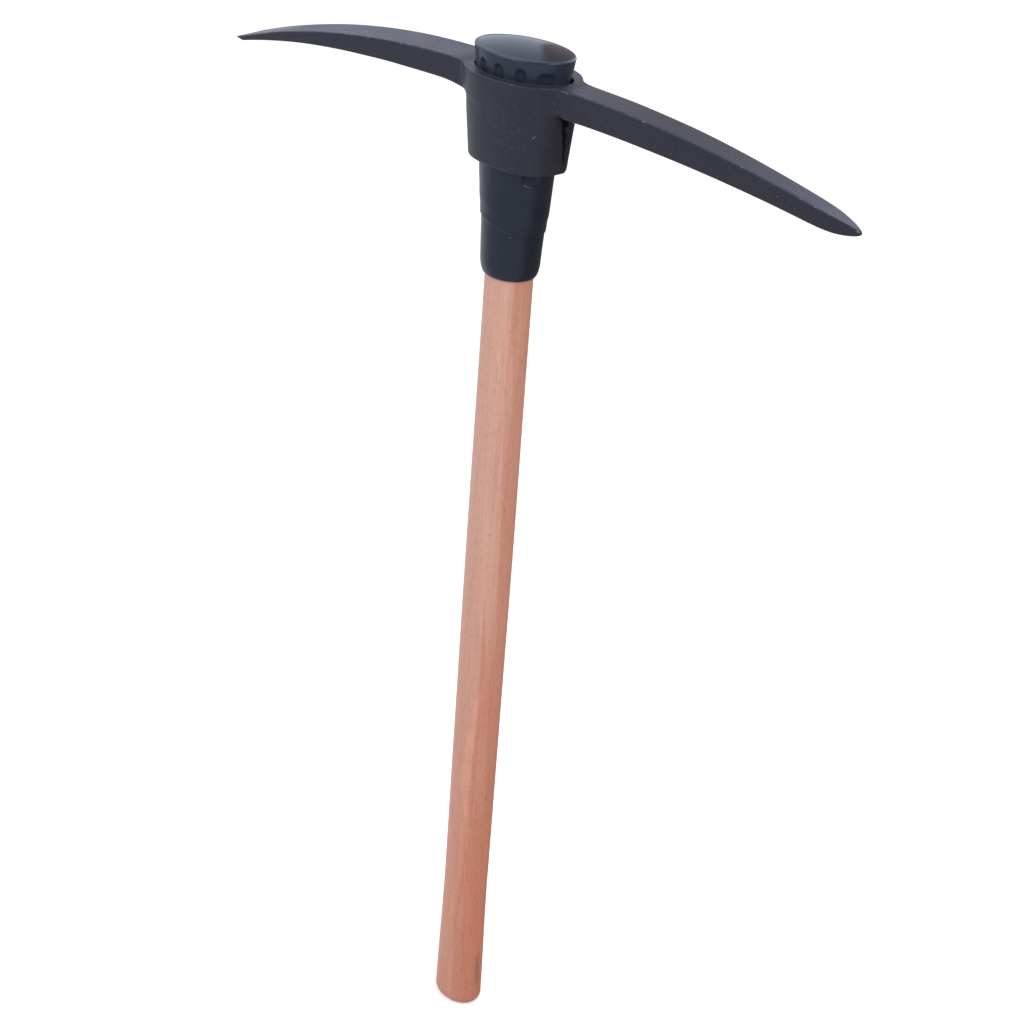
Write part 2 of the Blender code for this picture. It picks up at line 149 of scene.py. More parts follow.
def ring_edges(bm, ring):
    """The edges between neighbours round a ring."""
    return [bm.edges.get(pair) for pair in zip(ring, ring[1:] + ring[:1])]


def extrude_ring(bm, ring, places):
    """Extrudes a ring and moves the new vertices to their places."""
    made = bmesh.ops.extrude_edge_only(bm, edges=ring_edges(bm, ring))["geom"]
    fresh = {item for item in made if isinstance(item, bmesh.types.BMVert)}
    ahead = [next(edge.other_vert(vert) for edge in vert.link_edges if edge.other_vert(vert) in fresh)
             for vert in ring]
    for vert, place in zip(ahead, places):
        vert.co = place
    return ahead


def cap_ring(bm, ring):
    """Closes a ring with one face."""
    return bmesh.ops.contextual_create(bm, geom=ring_edges(bm, ring))["faces"]


def new_piece(bm, name):
    """An object from a finished bmesh, faces outward."""
    bmesh.ops.recalc_face_normals(bm, faces=bm.faces)
    mesh = bpy.data.meshes.new(name)
    bm.to_mesh(mesh)
    bm.free()
    piece = bpy.data.objects.new(name, mesh)
    bpy.context.scene.collection.objects.link(piece)
    return piece


def settle(piece):
    """Makes a piece's modifiers part of its mesh."""
    bpy.context.view_layer.update()
    solid = bpy.data.meshes.new_from_object(piece.evaluated_get(bpy.context.evaluated_depsgraph_get()))
    piece.modifiers.clear()
    piece.data = solid


def cut_out(piece, cutter):
    """Cuts a cutter's shape out of a piece, for good."""
    cut = piece.modifiers.new("cut", "BOOLEAN")
    cut.operation = "DIFFERENCE"
    cut.solver = "EXACT"
    cut.object = cutter
    settle(piece)
    bpy.data.objects.remove(cutter)


def finish(piece, material, sharp_angle, body, nodes):
    """Shades a piece, dresses it, and hangs it on its body in place of its CAD node."""
    piece.data.materials.clear()
    piece.data.materials.append(material)
    piece.data.shade_smooth()
    piece.data.set_sharp_from_angle(angle=math.radians(sharp_angle))
    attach(piece, body)
    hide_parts(*nodes)


def mark(tree, place, start, end, width, depth, core, strength, **fading):
    """A mark between two points, in mm: its strength within its core, fading to 0 at its outline."""
    start, end = Vector(start), Vector(end)
    lie = (end - start).to_track_quat("X", "Z").to_euler()
    size = Vector(((end - start).length / 2 + width / 2, depth, width / 2))
    inside = add(tree, "Mapping", {"Vector": place, "Location": (start + end) / 2 * MM, "Rotation": lie,
                                   "Scale": size * MM}, vector_type="TEXTURE")
    share = add(tree, "VectorMath", {0: inside}, out="Value", operation="LENGTH")
    return add(tree, "MapRange", {"Value": share, "From Min": 1.0, "From Max": core, "To Max": strength},
               **fading)


def between(rows, z):
    """A table's rows just below and above height z, without their heights, and z's share of the way."""
    low, high = next(pair for pair in zip(rows, rows[1:]) if z <= pair[1][0])
    return low[1:], high[1:], (z - low[0]) / (high[0] - low[0])


def shaft_half(z):
    """Half width and half depth of the wood at height z."""
    low, high, share = between(SHAFT_OVALS, min(z, TENON_TOP))
    if z <= SHAFT_OVALS[-2][0]:
        share = smooth(share)
    return [mix(a, b, share) for a, b in zip(low, high)]


def wedge_cutter(size, across, centre):
    """A tapered slot for a wedge, open past the end of the tenon."""
    width, head, toe, length = size
    bm = bmesh.new()
    bmesh.ops.create_cube(bm, size=1.0)
    for vert in bm.verts:
        high = vert.co.z > 0
        thick = (head + (head - toe) * SLOT_RUN_OUT / length if high else toe) + 2 * FIT
        wide = width + 2 * FIT
        size_x, size_y = (thick, wide) if across else (wide, thick)
        z = TENON_TOP + SLOT_RUN_OUT if high else TENON_TOP - length - FIT
        vert.co = Vector((centre + vert.co.x * size_x, vert.co.y * size_y, z)) * MM
    return new_piece(bm, "slot")


bm = bmesh.new()
places = [(z, [half - inset for half in shaft_half(z)]) for z, inset in rounding(BUTT_ROUND, 8)]
count = round((TENON_TOP - BUTT_ROUND) / SHAFT_STEP)
for step in range(1, count + 1):
    z = BUTT_ROUND + (TENON_TOP - BUTT_ROUND) * step / count
    places.append((z, shaft_half(z)))
ring = start_ring(bm, oval(places[0][1], places[0][0], SHAFT_SIDES), True)
for z, half in places[1:]:
    ring = extrude_ring(bm, ring, oval(half, z, SHAFT_SIDES))
cap_ring(bm, ring)
for vert in bm.verts:
    if SANDED_FROM * MM < vert.co.z < SANDED_TO * MM:
        out = Vector((vert.co.x, vert.co.y, 0)).normalized()
        wave = noise.noise(Vector((vert.co.x * 45, vert.co.y * 45, vert.co.z * 9)))
        vert.co += out * wave * SANDING * MM
shaft = new_piece(bm, "handle_shaft_oiled")
# The kerf is sawn through from side to side, and each cross wedge makes its own slot
cut_out(shaft, wedge_cutter((4 * SHAFT_OVALS[-1][1], *KERF_WEDGE[1:]), False, 0.0))
for side in (-1, 1):
    cut_out(shaft, wedge_cutter(CROSS_WEDGE, True, side * CROSS_WEDGE_X))

# Sanded and oiled hardwood: long soft bands of tan and pinkish red, fibre lines about a millimetre wide,
# short dark pores, and a dull sheen. Pores are really 0.2 mm wide, and are drawn three times that.
wood, tree, shader = new_material("sanded_oiled_hardwood", Roughness=0.46, IOR=1.48)
grain = add(tree, "TexCoord", out="Object")
bend = add(tree, "Mapping", {"Vector": grain, "Scale": (22, 22, 4)})
bend = add(tree, "TexNoise", {"Vector": bend, "Scale": 1.0, "Detail": 2.0}, out="Color")
bend = add(tree, "VectorMath", {0: bend, "Scale": 0.010}, operation="SCALE")
bent = add(tree, "VectorMath", {0: grain, 1: bend})
bands = add(tree, "Mapping", {"Vector": bent, "Scale": (110, 110, 5)})
bands = add(tree, "TexNoise", {"Vector": bands, "Scale": 1.0, "Detail": 3.0, "Roughness": 0.55})
fibres = add(tree, "Mapping", {"Vector": bent, "Scale": (900, 900, 14)})
fibres = add(tree, "TexNoise", {"Vector": fibres, "Scale": 1.0, "Detail": 3.0, "Roughness": 0.6})
pores = add(tree, "Mapping", {"Vector": bent, "Scale": (1500, 1500, 170)})
pores = add(tree, "TexNoise", {"Vector": pores, "Scale": 1.0, "Detail": 1.0})

# The wood is redder on the side turned from the key lamp, and painted darker there as shade; it is also
# redder toward its butt
redder_shaded_side = add(tree, "VectorMath", {0: grain, 1: (19.0, 14.5, -0.22)}, out="Value", operation="DOT_PRODUCT")
redder_shaded_side = add(tree, "Math", {0: redder_shaded_side, 1: bands}, operation="ADD")
redder_shaded_side = add(tree, "MapRange", {"Value": redder_shaded_side, "From Min": 0.30, "From Max": 0.64},
            interpolation_type="SMOOTHSTEP")
tone = add(tree, "Mix", {0: redder_shaded_side, 6: linear("#D4A291"), 7: linear("#C88B76")}, out=2, data_type="RGBA")
near_butt = add(tree, "SeparateXYZ", {0: grain}, out=2)
near_butt = add(tree, "MapRange", {"Value": near_butt, "From Min": 0.62, "From Max": 0.10},
                interpolation_type="SMOOTHSTEP")
tone = add(tree, "Mix", {0: near_butt, 6: tone, 7: (0.96, 0.79, 0.71, 1.0)}, out=2, data_type="RGBA",
           blend_type="MULTIPLY")

# Fibre lines and pores shade the tone and shape the surface, and patches of figure shade it further
lines = add(tree, "MapRange", {"Value": fibres, "From Min": 0.3, "From Max": 0.7,
                               "To Min": 0.90, "To Max": 1.05})
dark = add(tree, "MapRange", {"Value": pores, "From Min": 0.58, "From Max": 0.70,
                              "To Min": 1.0, "To Max": 0.80})
shade = add(tree, "Math", {0: lines, 1: dark}, operation="MULTIPLY")
relief = add(tree, "Bump", {"Height": shade, "Strength": 0.35, "Distance": 0.0003})
for patches, way in ((PALE_FIGURE, "ADD"), (DARK_FIGURE, "SUBTRACT")):
    patch = 0.0
    for start, end, width, strength in patches:
        near = mark(tree, grain, start, end, width, width, FIGURE_CORE, strength,
                    interpolation_type="SMOOTHSTEP")
        patch = add(tree, "Math", {0: patch, 1: near}, operation="MAXIMUM")
    shade = add(tree, "Math", {0: shade, 1: patch}, operation=way)
tone = add(tree, "VectorMath", {0: tone, "Scale": shade}, operation="SCALE")
gloss = add(tree, "MapRange", {"Value": fibres, "To Min": 0.36, "To Max": 0.56})
feed(tree, shader, Base_Color=tone, Roughness=gloss, Normal=relief)
finish(shaft, wood, 40, "handle", ["handle_shaft"])


# Wedges: a sawn hardwood wedge driven into the kerf, and two rolled steel wedges driven across it. They
# spread the tenon in the adapter and are hidden under the cap, so they keep their CAD meshes.

sawn, tree, shader = new_material("sawn_hardwood_wedge", Roughness=0.7)
grain = add(tree, "TexCoord", out="Object")
lines = add(tree, "Mapping", {"Vector": grain, "Scale": (700, 700, 25)})
lines = add(tree, "TexNoise", {"Vector": lines, "Scale": 1.0, "Detail": 4.0})
tone = add(tree, "Mix", {0: lines, 6: linear("#A87850"), 7: linear("#D0A074")}, out=2, data_type="RGBA")
relief = add(tree, "Bump", {"Height": lines, "Strength": 0.6, "Distance": 0.0003})
feed(tree, shader, Base_Color=tone, Normal=relief)

rolled, tree, shader = new_material("rolled_mild_steel_wedge", Metallic=1.0, Roughness=0.4)
place = add(tree, "TexCoord", out="Object")
scale_marks = add(tree, "Mapping", {"Vector": place, "Scale": (300, 300, 60)})
scale_marks = add(tree, "TexNoise", {"Vector": scale_marks, "Scale": 1.0, "Detail": 4.0})
tone = add(tree, "Mix", {0: scale_marks, 6: linear("#6E6C6A"), 7: linear("#B4B5B8")}, out=2,
           data_type="RGBA")
gloss = add(tree, "MapRange", {"Value": scale_marks, "To Min": 0.3, "To Max": 0.6})
feed(tree, shader, Base_Color=tone, Roughness=gloss)
for name, material in (("kerf_wedge", sawn), ("cross_wedge_left", rolled), ("cross_wedge_right", rolled)):
    node_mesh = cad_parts[name].data
    node_mesh.materials.clear()
    node_mesh.materials.append(material)


# Plastic adapter: an injection moulded sleeve of bluish black plastic over the tenon, a rounded collar
# below, a tapered body with moulded flutes that jams in the head's eye, and a wider rim above it.
# The flutes have soft edges and flat floors, and reach past the eye above and below.

RIM_Z, BOSS_TOP_Z, BOSS_BOTTOM_Z = 907.5, 891.2, 825.0
SHOULDER_Z, COLLAR_Z, MOUTH_Z, MOUTH_ROUND = 789.5, 776.5, 750.5, 14.0
MOUTH_RINGS = 9
LIP, MOUTH = (20.15, 18.05), (24.16, 20.80)
ADAPTER_OVALS = (  # height, half width and half depth, in mm, above the mouth's rounding
    (MOUTH_Z, *MOUTH), (COLLAR_Z, 25.58, 21.52), (SHOULDER_Z, 28.62, 22.21),
    (BOSS_BOTTOM_Z, 31.40, 22.69), (BOSS_TOP_Z, 38.46, 26.69), (RIM_Z, 41.06, 28.29))
CREASE_BLEND = 2.4  # how far the moulded creases are softened
COLLAR_BLEND, COLLAR_REACH = 0.6, 4.0  # less so within this reach of the collar's top
COLLAR_RINGS = (-0.9, -0.3, 0.1, 0.5, 0.9)
LEDGE, LEDGE_RISE, LEDGE_RUN = 1.0, 0.4, 8.0  # the mould's step above the collar, at the ends of the oval
STEP_LIFT, STEP_TILT = 2.0, 5.0  # it lies higher at the chisel's end of the oval
TILT_FROM, TILT_TO, TILT_RAMP = MOUTH_Z + 2, BOSS_BOTTOM_Z - 10, 20.0  # heights that move with the step
RIM_ROUND = 1.8
CAP_SEAM = 2.0  # in from the rim's outer edge
SEAM_ROUND = 0.15
CAP_PLUG = 5.0
SLEEVE_RINGS = (TENON_TOP - 0.1, 860, 825, 780, 742, 736.9)  # rings inside the sleeve, from the top down
ADAPTER_SIDES = 320
ADAPTER_STEP = 1.3
FLUTE_DEPTH, FLUTE_RAMP, FLUTE_LIP = 1.9, 3.2, 1.9  # sides slope softly, the lower lip less so
FLUTE_CORNER = 4.3  # radius of a flute's top corners
FLUTE_SPREAD = 0.25  # share of the slope that lies outside a flute's width
FLUTE_BOW = 12.0  # how strongly the lower lip bows up to the sides
FLUTE_SHALLOW, FLUTE_RUN = 0.45, 12.0  # share of the depth at the lower lip, and the run to full depth
FLUTED_FROM = 805.0  # all flutes end above this height
FLUTES = (  # angles round one half of the oval, width, top, bottom and lean
    ((63, 88, 115), 8.7, BOSS_TOP_Z + 9.3, BOSS_BOTTOM_Z - 2.4, 0),
    ((147,), 13.5, BOSS_TOP_Z + 7.8, BOSS_BOTTOM_Z - 12.5, 5))


def adapter_half(z):
    """The adapter's oval at height z, with its creases softened."""
    total = [0.0, 0.0]
    blend = COLLAR_BLEND if abs(z - COLLAR_Z) < COLLAR_REACH else CREASE_BLEND
    samples = [z + blend * step / 4 for step in range(-4, 5)]
    for at in samples:
        low, high, share = between(ADAPTER_OVALS, min(max(at, MOUTH_Z), RIM_Z))
        total = [t + a + (b - a) * share for t, a, b in zip(total, low, high)]
    return [t / len(samples) for t in total]


def flute_sink(x, y, z):
    """How far the adapter's skin is sunk at a point, in mm."""
    half = adapter_half(z)
    sink = 0.0
    for angles, width, top, bottom, lean in FLUTES:
        for angle in angles:
            for face in (0, 180):
                turn = math.radians(angle + face - lean * (top - z) / (top - bottom))
                run = Vector((-half[0] * math.sin(turn), half[1] * math.cos(turn))).normalized()
                offset = Vector((x - half[0] * math.cos(turn), y - half[1] * math.sin(turn)))
                if offset.length > width:
                    continue
                across = offset.dot(run)
                aside = max(0.0, abs(across) - (width / 2 - FLUTE_CORNER))
                past = max(0.0, z - (top - FLUTE_CORNER))
                sides = smooth((FLUTE_CORNER - math.hypot(aside, past)) / FLUTE_RAMP + FLUTE_SPREAD)
                rise = z - bottom - FLUTE_BOW * (across / width) ** 2
                lip = smooth(rise / FLUTE_LIP) * mix(FLUTE_SHALLOW, 1.0, smooth(rise / FLUTE_RUN))
                sink = max(sink, sides * lip)
    return sink * FLUTE_DEPTH


bm = bmesh.new()
outside = []
for step in range(MOUTH_RINGS + 1):
    turn = math.pi / 2 * step / MOUTH_RINGS
    half = [mix(low, high, math.sin(turn)) for low, high in zip(LIP, MOUTH)]
    outside.append((MOUTH_Z - MOUTH_ROUND * math.cos(turn), half))
count = round((RIM_Z - RIM_ROUND - MOUTH_Z) / ADAPTER_STEP)
levels = [mix(MOUTH_Z, RIM_Z - RIM_ROUND, step / count) for step in range(1, count + 1)]
levels = [z for z in levels if abs(z - COLLAR_Z) > 1] + [COLLAR_Z + rise for rise in COLLAR_RINGS]
# Closer rings round the flutes' lower ends
close = [z for z in levels if BOSS_BOTTOM_Z - 19 < z < BOSS_BOTTOM_Z]
levels += [z + ADAPTER_STEP * part / 3 for z in close for part in (1, 2)]
outside += [(z, adapter_half(z)) for z in sorted(levels)]
rim_half = adapter_half(RIM_Z)
for inset, drop in rounding(RIM_ROUND, 5)[1:]:
    outside.append((RIM_Z - drop, [half - inset for half in rim_half]))
seam = [half - CAP_SEAM for half in rim_half]
for drop, out in rounding(SEAM_ROUND, 3):
    outside.append((RIM_Z - drop, [half + out for half in seam]))
outside.append((RIM_Z - CAP_PLUG - FIT, seam))
inside = [(z, [half + FIT for half in shaft_half(z)]) for z in SLEEVE_RINGS]
first = ring = start_ring(bm, oval(outside[0][1], outside[0][0], ADAPTER_SIDES), False)
for z, half in outside[1:] + inside:
    ring = extrude_ring(bm, ring, oval(half, z, ADAPTER_SIDES))
bmesh.ops.bridge_loops(bm, edges=ring_edges(bm, first) + ring_edges(bm, ring))
for vert in bm.verts:
    x, y, z = vert.co / MM
    half = adapter_half(z)
    if MOUTH_Z < z < RIM_Z - RIM_ROUND and abs((x / half[0]) ** 2 + (y / half[1]) ** 2 - 1) < 0.01:
        outward = Vector((x / half[0] ** 2, y / half[1] ** 2, 0)).normalized()
        above = z - COLLAR_Z
        ledge = LEDGE * clamp(above / LEDGE_RISE) * max(1 - above / LEDGE_RUN, 0) * abs(x / half[0]) ** 0.6
        vert.co += outward * (ledge - (flute_sink(x, y, z) if z > FLUTED_FROM else 0.0)) * MM
        tilted = smooth((z - TILT_FROM) / TILT_RAMP) * smooth((TILT_TO - z) / TILT_RAMP)
        vert.co.z += (STEP_LIFT - STEP_TILT * x / half[0]) * tilted * MM
adapter = new_piece(bm, "plastic_adapter_moulded")

# Injection moulded polypropylene: bluish black, satin with a clear gloss over it, faint flow mottling,
# and one pale fleck on the collar. It is a little paler toward the rim, and glossier on the rim itself.
FLECK = (12.8, -18.3, 773.1)
FLECK_SIZE = 1.4
plastic, tree, shader = new_material("moulded_black_polypropylene", Roughness=0.3, IOR=1.49,
                                     Specular_Tint=(0.63, 0.67, 0.88, 1.0))
place = add(tree, "TexCoord", out="Object")
flow = add(tree, "TexNoise", {"Vector": place, "Scale": 60.0, "Detail": 3.0})
fine = add(tree, "TexNoise", {"Vector": place, "Scale": 700.0, "Detail": 2.0})
tone = add(tree, "Mix", {0: flow, 6: linear("#181B24"), 7: linear("#20242E")}, out=2, data_type="RGBA")
up_adapter = add(tree, "SeparateXYZ", {0: place}, out=2)
paler = add(tree, "MapRange", {"Value": up_adapter, "From Min": 800 * MM, "From Max": 900 * MM})
tone = add(tree, "Mix", {0: paler, 6: tone, 7: linear("#2A2F3B")}, out=2, data_type="RGBA")
fleck = mark(tree, place, FLECK, FLECK, FLECK_SIZE, FLECK_SIZE, 0.4, 0.35)
tone = add(tree, "Mix", {0: fleck, 6: tone, 7: linear("#8A8E9C")}, out=2, data_type="RGBA")
gloss = add(tree, "MapRange", {"Value": flow, "From Min": 0.3, "From Max": 0.7,
                               "To Min": 0.25, "To Max": 0.33})
at_rim = add(tree, "MapRange", {"Value": up_adapter, "From Min": 903 * MM, "From Max": 906 * MM,
                                "To Max": 0.12})
gloss = add(tree, "Math", {0: gloss, 1: at_rim}, operation="SUBTRACT")
relief = add(tree, "Bump", {"Height": fine, "Strength": 0.06, "Distance": 0.0002})
feed(tree, shader, Base_Color=tone, Roughness=gloss, Normal=relief)
finish(adapter, plastic, 50, "handle", ["plastic_adapter"])


# Cap: a low oval dome of the same plastic, pressed into the adapter's mouth. A fine seam runs round it
# just inside the rim, and its edge is softly rounded.

CAP_DOME = 5.4
CAP_EDGE = 0.2
CAP_GAP = 0.16
CAP_SIDES = 240
DOME_RINGS = 19

bm = bmesh.new()
plug = [half - CAP_GAP for half in seam]
base_z = RIM_Z - CAP_PLUG
profile = [(base_z, plug), (RIM_Z - CAP_EDGE, plug)]
for inset, drop in rounding(CAP_EDGE, 4)[1:]:
    profile.append((RIM_Z - drop, [half - inset for half in plug]))
crown = [half - CAP_EDGE for half in plug]
for step in range(1, DOME_RINGS):
    share = 1 - step / DOME_RINGS
    profile.append((RIM_Z + CAP_DOME * (1 - share ** 2), [half * share for half in crown]))
ring = start_ring(bm, oval(profile[0][1], profile[0][0], CAP_SIDES), True)
for z, half in profile[1:]:
    ring = extrude_ring(bm, ring, oval(half, z, CAP_SIDES))
tip = bmesh.ops.extrude_edge_only(bm, edges=ring_edges(bm, ring))["geom"]
tip_verts = [item for item in tip if isinstance(item, bmesh.types.BMVert)]
bmesh.ops.pointmerge(bm, verts=tip_verts, merge_co=Vector((0, 0, RIM_Z + CAP_DOME)) * MM)
cap = new_piece(bm, "adapter_cap_moulded")

# The same polypropylene from a polished mould: smoother and glossier than the adapter's sides
polished, tree, shader = new_material("polished_black_polypropylene", Roughness=0.2, IOR=1.49,
                                      Specular_Tint=(0.62, 0.64, 0.83, 1.0))
place = add(tree, "TexCoord", out="Object")
flow = add(tree, "TexNoise", {"Vector": place, "Scale": 45.0, "Detail": 2.0})
tone = add(tree, "Mix", {0: flow, 6: linear("#1D2029"), 7: linear("#242833")}, out=2, data_type="RGBA")
gloss = add(tree, "MapRange", {"Value": flow, "From Min": 0.3, "From Max": 0.7,
                               "To Min": 0.10, "To Max": 0.15})
relief = add(tree, "Bump", {"Height": flow, "Strength": 0.05, "Distance": 0.0005})
feed(tree, shader, Base_Color=tone, Roughness=gloss, Normal=relief)
finish(cap, polished, 50, "handle", ["adapter_cap"])


# Pick head: one steel forging painted dark blue-grey, an oval boss with the tapered eye through it, and
# two arms drawn out of its ends, one to a narrow chisel and one to a four-sided point. Its edges are
# soft from the dies, and the ends of the boss below the arms are rough where the flash was trimmed.

BOSS_BOTTOM, BOSS_TOP = (39.50, 28.19), (45.26, 34.79)
BOSS_POWER = 2.3  # 2 is an ellipse, more is squarer
FOOT_ROUND = 2.6
FOOT_DROP = 1.2  # how much lower the boss ends on the pointed side
FOOT_BLEND = 12.0  # the height over which that drop fades
DROP_FROM, DROP_RUN = -20.0, 45.0  # where along X it starts, and the run to all of it
EDGE = 2.0  # spacing of the loops that keep the forged edges tight
ROOT_Z = 872.2  # underside of the arms where they leave the boss, on average
END_FLAT_TOP, END_FLAT_BOTTOM = 8.2, 0.8
END_LEAN = 5.0  # how far the front edge of the pointed end leans back toward the foot
ROOT_FLAT = 9.0  # half width of the pointed arm where its underside meets the boss
LEFT_FULLER = 1.018  # the chisel side of the boss is a little fuller
FILLET_RUN = 5.0
POINT_ARM = {
    "side": 1, "reach": 285.5, "rise": -0.9, "depth": 20.1, "top": (33.6, 1.84), "bottom": (23.4, 1.80),
    "root_half": 12.9, "flare": 2.1, "swell": 1.2, "end_half": 7.2, "fillet": 0.5}
POINT_TAPER, POINT_HEIGHT, POINT_BLUNT = 24.0, 6.6, 1.2
CHISEL_ARM = {
    "side": -1, "reach": 282.0, "rise": 1.1, "depth": 18.1, "top": (38.8, 2.15), "bottom": (24.3, 2.75),
    "root_half": 17.0, "flare": 1.4, "swell": 1.3, "end_half": 16.4, "fillet": 2.2}
CHISEL_FACET = 8.0
SOFT_ROOT = 0.9  # fullness of the fillet under the chisel arm
FILLET_DEPTH = 8.0  # from the root down to the loop where that fillet ends
UNDERCUT = 2.6  # from the root down to the loop that keeps the arm's underside crisp
FRONT_EDGE = 20  # the outline's point at the front edge of the +X end
FRONT_CREASE = 0.75
GROOVE = ((830, 0.0), (833, 1.4), (846, 3.4), (864, 4.4), (870, 4.4))  # heights and depths of the hollow
EYE_FOOT, EYE_TOP = (31.40, 22.69), (38.46, 26.69)
EYE_GAP = 0.3
EYE_NOTCH, EYE_NOTCH_TURN = 2.2, math.radians(10)  # the gap opens near the ends of the oval
EYE_ROUND = 0.7
RUBBED_EYE = (39.0, 27.2)
EYE_SIDES = 180
HEAD_SMOOTHING = 3
WAVES, RIPPLES, LUMPS = (0.20, 26), (0.05, 230), (0.8, 190)  # height in mm, and how many in a metre
RIPPLED_TO, LUMPED_FROM, LUMPED_ABOVE = 52.0, 34.0, 829.0  # along X either way, and along Z
LUMP_SINK = 0.3
EDGE_WEAR_REACH = 1.6
MARK_DEPTH = 1.6
MARKS_AND_TIP_HIGHLIGHT = (  # scratches, chips and paler strips in the paint, and a painted highlight: two ends, width and strength
    ((29.7, -23.8, 852.9), (32.5, -22.0, 855.9), 0.8, 0.8),
    ((40.4, -16.4, 881.2), (41.9, -12.8, 878.1), 0.7, 0.6),
    ((41.4, -14.6, 880.9), (42.2, -12.4, 881.6), 0.6, 0.5),
    ((15.5, -32.0, 878.0), (24.4, -28.6, 870.7), 0.5, 0.12),
    ((-0.3, -32.8, 874.5), (14.3, -31.6, 868.0), 0.5, 0.12),
    ((6.5, -31.3, 858.0), (12.5, -30.6, 853.5), 0.5, 0.15),
    ((194.3, -10.6, 876.3), (196.4, -10.4, 875.9), 1.0, 0.8),
    ((252.2, -8.4, 864.7), (253.4, -8.4, 864.4), 0.8, 0.6),
    ((262.0, -8.0, 862.4), (264.6, -8.0, 861.7), 0.7, 0.5),
    ((266.2, -7.9, 861.4), (268.6, -7.8, 860.9), 0.7, 0.5),
    # a painted highlight on the top edge at the point's tip
    ((281.8, -2.6, 855.6), (284.2, -1.4, 854.2), 0.7, 0.8),
    ((151.4, -11.6, 882.8), (152.8, -11.6, 882.5), 0.7, 0.4),
    ((140.0, -11.9, 870.2), (140.3, -11.9, 870.2), 1.0, 0.4),
    ((224.6, -9.4, 863.9), (225.0, -9.4, 863.9), 1.1, 0.3),
    # two paler strips along the top of the chisel's end
    ((-272.0, -13.5, 857.0), (-246.0, -15.0, 865.0), 4.0, 0.30),
    ((-274.0, 8.0, 856.4), (-240.0, 10.0, 866.6), 6.0, 0.25),
    ((-72.3, -17.5, 892.0), (-70.7, -17.5, 892.0), 0.9, 0.4),
    ((50.0, -13.6, 889.8), (51.2, -13.4, 889.5), 0.8, 0.5))
PALER_CHISEL_TOP = ((-300.0, 0.0, 849.2), (-222.0, 0.0, 873.0), 5.0, 30.0, 0.5, 0.4)  # along the chisel's top
SPECK_CENTRE, SPECK_REACH = (13.0, -29.0, 852.0), 24.0


def taper(foot, top, z):
    """Half width and half depth at height z of an oval that tapers through the boss."""
    share = (z - BOSS_BOTTOM_Z) / (BOSS_TOP_Z - BOSS_BOTTOM_Z)
    return [mix(low, high, share) for low, high in zip(foot, top)]


def boss_outline(z, inset=0.0):
    """22 cage points round the boss at height z, anticlockwise from just behind the +X end's middle."""
    half = [size - inset for size in taper(BOSS_BOTTOM, BOSS_TOP, z)]
    flats = [arm["root_half"] + arm["flare"] for arm in (POINT_ARM, CHISEL_ARM)]
    if z < ROOT_Z:
        flats = [end_flat(z)] * 2
    elif z == ROOT_Z:
        flats[0] = ROOT_FLAT
    start, end = [math.asin((flat / half[1]) ** (BOSS_POWER / 2)) for flat in flats]
    arc = []
    for step in range(9):
        turn = mix(start, math.pi - end, step / 8)
        cos, sin = math.cos(turn), math.sin(turn)
        x = half[0] * math.copysign(abs(cos) ** (2 / BOSS_POWER), cos)
        arc.append((x, half[1] * sin ** (2 / BOSS_POWER)))
    inner = [flat - min(EDGE, flat / 2) for flat in flats]
    back = [(arc[0][0], inner[0])] + arc + [(arc[-1][0], inner[1])]
    outline = back + [(x, -y) for x, y in reversed(back)]
    lean = end_lean(z)
    for place in (FRONT_EDGE, FRONT_EDGE + 1, 0, 1):
        outline[place] = (outline[place][0], outline[place][1] + lean)
    hollow = groove_depth(z)
    if hollow and not inset:
        # The end is hollow: a steep drop behind the front edge, a slope, and a rough wall behind it
        for place, share, y in ((0, 1.0, lean + 0.3 * flats[0]), (21, 0.7, lean + 1.0 - flats[0]),
                                (10, 0.45, 0.3 * flats[0]), (11, 0.2, 0.4 * -flats[0])):
            x = outline[place][0]
            outline[place] = (x - math.copysign(hollow * share, x), y)
    drop = FOOT_DROP * (1 - smooth((z - BOSS_BOTTOM_Z) / FOOT_BLEND))
    outline = [(x * LEFT_FULLER if x < 0 else x, y) for x, y in outline]
    return [Vector((x, y, z - drop * smooth((x - DROP_FROM) / DROP_RUN))) * MM for x, y in outline]


def end_flat(z):
    """Half width of the boss's flat ends below the arms at height z."""
    return mix(END_FLAT_BOTTOM, END_FLAT_TOP, (z - BOSS_BOTTOM_Z) / (ROOT_Z - BOSS_BOTTOM_Z))


def end_lean(z):
    return END_LEAN * max(0.0, (ROOT_Z - z) / (ROOT_Z - BOSS_BOTTOM_Z))


def groove_depth(z):
    """Depth of the hollow in the boss's ends at height z."""
    if not GROOVE[0][0] <= z <= GROOVE[-1][0]:
        return 0.0
    (low,), (high,), share = between(GROOVE, z)
    return mix(low, high, share)


def arm_share(arm, x):
    return max(0.0, (x - BOSS_TOP[0]) / (arm["reach"] - BOSS_TOP[0]))


def arm_top(arm, x):
    fall, power = arm["top"]
    return BOSS_TOP_Z + arm["rise"] - fall * arm_share(arm, x) ** power


def arm_bottom(arm, x):
    fall, power = arm["bottom"]
    fillet = arm["fillet"] * math.exp(-(x - BOSS_TOP[0]) / FILLET_RUN)
    return BOSS_TOP_Z + arm["rise"] - arm["depth"] - fall * arm_share(arm, x) ** power - fillet


def arm_half(arm, x):
    """Half width, flaring into the boss through a fillet."""
    share = arm_share(arm, x)
    flare = arm["flare"] * math.exp(-(x - BOSS_TOP[0]) / FILLET_RUN)
    return mix(arm["root_half"], arm["end_half"], share) + 4 * arm["swell"] * share * (1 - share) + flare


